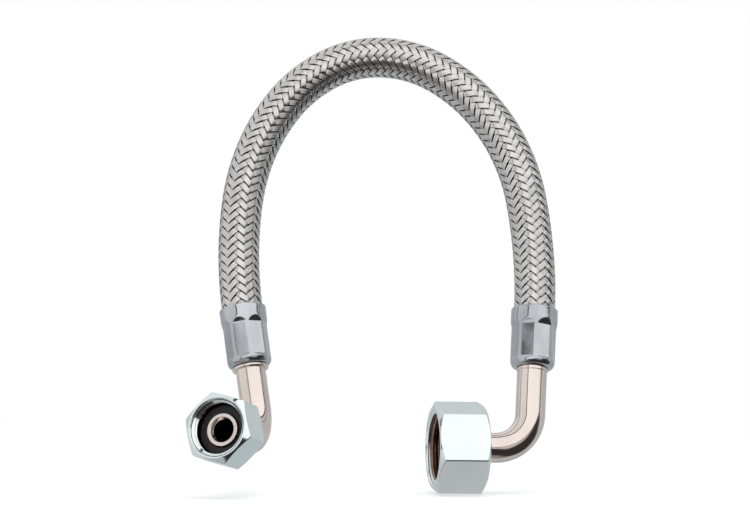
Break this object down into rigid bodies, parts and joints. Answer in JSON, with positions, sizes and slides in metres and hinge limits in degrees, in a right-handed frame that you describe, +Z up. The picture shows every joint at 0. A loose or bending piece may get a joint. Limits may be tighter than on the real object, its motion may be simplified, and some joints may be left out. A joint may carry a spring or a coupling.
{
  "type": "braided supply line",
  "caption": "Flexible braided hose bent into an arch, with a crimped ferrule, an elbow tube and a captive swivel union nut at each end.",
  "frame": {"origin": "on the large union nut's axis, at the outer end of its thread", "axes": "+Z up the arch (which leans back 18 degrees towards +Y), +X from the small fitting towards the large one, +Y away from the viewer"},
  "size_m": [0.1084, 0.0739, 0.1354],
  "materials": {
    "liner_rubber": "matt black rubber hose liner",
    "braid_steel": "fine woven stainless wire, soft satin",
    "ferrule_steel": "bluish-grey satin steel with crimp marks",
    "tube_nickel": "warm satin nickel plating",
    "gasket_rubber": "black sealing rubber",
    "washer_brass": "plain turned brass",
    "nut_chrome": "bright chrome plating"
  },
  "bodies": {
    "small_end": {"hose_liner_1": "liner_rubber", "hose_braid_1": "braid_steel", "liner_end_small": "liner_rubber", "braid_end_small": "braid_steel", "ferrule_small": "ferrule_steel", "bent_tube_small": "tube_nickel", "gasket_small": "gasket_rubber"},
    "hose_2": {"hose_liner_2": "liner_rubber", "hose_braid_2": "braid_steel"},
    "hose_3": {"hose_liner_3": "liner_rubber", "hose_braid_3": "braid_steel"},
    "hose_4": {"hose_liner_4": "liner_rubber", "hose_braid_4": "braid_steel"},
    "hose_5": {"hose_liner_5": "liner_rubber", "hose_braid_5": "braid_steel"},
    "hose_6": {"hose_liner_6": "liner_rubber", "hose_braid_6": "braid_steel"},
    "hose_7": {"hose_liner_7": "liner_rubber", "hose_braid_7": "braid_steel"},
    "hose_8": {"hose_liner_8": "liner_rubber", "hose_braid_8": "braid_steel"},
    "hose_9": {"hose_liner_9": "liner_rubber", "hose_braid_9": "braid_steel"},
    "hose_10": {"hose_liner_10": "liner_rubber", "hose_braid_10": "braid_steel"},
    "hose_11": {"hose_liner_11": "liner_rubber", "hose_braid_11": "braid_steel"},
    "large_end": {"hose_liner_12": "liner_rubber", "hose_braid_12": "braid_steel", "liner_end_large": "liner_rubber", "braid_end_large": "braid_steel", "ferrule_large": "ferrule_steel", "bent_tube_large": "tube_nickel", "gasket_large": "gasket_rubber"},
    "small_washer": {"slip_washer_small": "washer_brass"},
    "small_nut": {"union_nut_small": "nut_chrome"},
    "large_washer": {"slip_washer_large": "washer_brass"},
    "large_nut": {"union_nut_large": "nut_chrome"}
  },
  "joints": [
    {"name": "hose_bend_1", "type": "hinge", "parent": "hose_2", "child": "small_end", "pos_m": [-0.05801, 0.02326, 0.05602], "axis": [0, -0.9511, 0.309], "range_deg": [-11, 3], "stiffness_Nm_per_rad": 0.5},
    {"name": "hose_bend_2", "type": "hinge", "parent": "hose_3", "child": "hose_2", "pos_m": [-0.05705, 0.0285, 0.07215], "axis": [0, -0.9511, 0.309], "range_deg": [-19, 3], "stiffness_Nm_per_rad": 0.5},
    {"name": "hose_sway_3", "type": "hinge", "parent": "hose_4", "child": "hose_3", "pos_m": [-0.05287, 0.03358, 0.08778], "axis": [0.9304, -0.1133, -0.3486], "range_deg": [-18, 18], "stiffness_Nm_per_rad": 0.5},
    {"name": "hose_bend_4", "type": "hinge", "parent": "hose_5", "child": "hose_4", "pos_m": [-0.04447, 0.03812, 0.10177], "axis": [0, -0.9511, 0.309], "range_deg": [-28, 3], "stiffness_Nm_per_rad": 0.5},
    {"name": "hose_bend_5", "type": "hinge", "parent": "hose_6", "child": "hose_5", "pos_m": [-0.03158, 0.04149, 0.11214], "axis": [0, -0.9511, 0.309], "range_deg": [-42, 3], "stiffness_Nm_per_rad": 0.5},
    {"name": "hose_sway_6", "type": "hinge", "parent": "hose_6", "child": "hose_7", "pos_m": [-0.01522, 0.04266, 0.11573], "axis": [-0.0436, -0.3087, -0.9502], "range_deg": [-18, 18], "stiffness_Nm_per_rad": 0.5},
    {"name": "hose_bend_7", "type": "hinge", "parent": "hose_7", "child": "hose_8", "pos_m": [0.00092, 0.04118, 0.11119], "axis": [0, 0.9511, -0.309], "range_deg": [-38, 3], "stiffness_Nm_per_rad": 0.5},
    {"name": "hose_bend_8", "type": "hinge", "parent": "hose_8", "child": "hose_9", "pos_m": [0.01388, 0.03782, 0.10084], "axis": [0, 0.9511, -0.309], "range_deg": [-26, 3], "stiffness_Nm_per_rad": 0.5},
    {"name": "hose_sway_9", "type": "hinge", "parent": "hose_9", "child": "hose_10", "pos_m": [0.02292, 0.03339, 0.08722], "axis": [-0.9135, -0.1257, -0.3868], "range_deg": [-18, 18], "stiffness_Nm_per_rad": 0.5},
    {"name": "hose_bend_10", "type": "hinge", "parent": "hose_10", "child": "hose_11", "pos_m": [0.02774, 0.02837, 0.07176], "axis": [0, 0.9511, -0.309], "range_deg": [-18, 3], "stiffness_Nm_per_rad": 0.5},
    {"name": "hose_bend_11", "type": "hinge", "parent": "hose_11", "child": "large_end", "pos_m": [0.02959, 0.02315, 0.05569], "axis": [0, 0.9511, -0.309], "range_deg": [-10, 3], "stiffness_Nm_per_rad": 0.5},
    {"name": "small_nut_slide", "type": "slide", "parent": "small_end", "child": "small_washer", "axis": [0.4028, 0.8863, -0.2285], "range_m": [0, 0.007]},
    {"name": "small_nut_turn", "type": "hinge", "parent": "small_washer", "child": "small_nut", "pos_m": [-0.06232, -0.02006, 0.00665], "axis": [-0.4028, -0.8863, 0.2285], "continuous": true},
    {"name": "large_nut_slide", "type": "slide", "parent": "large_end", "child": "large_washer", "axis": [0.9843, 0.1755, -0.0195], "range_m": [0, 0.0034]},
    {"name": "large_nut_turn", "type": "hinge", "parent": "large_washer", "child": "large_nut", "pos_m": [0, 0, 0], "axis": [-0.9843, -0.1755, 0.0195], "continuous": true}
  ]
}
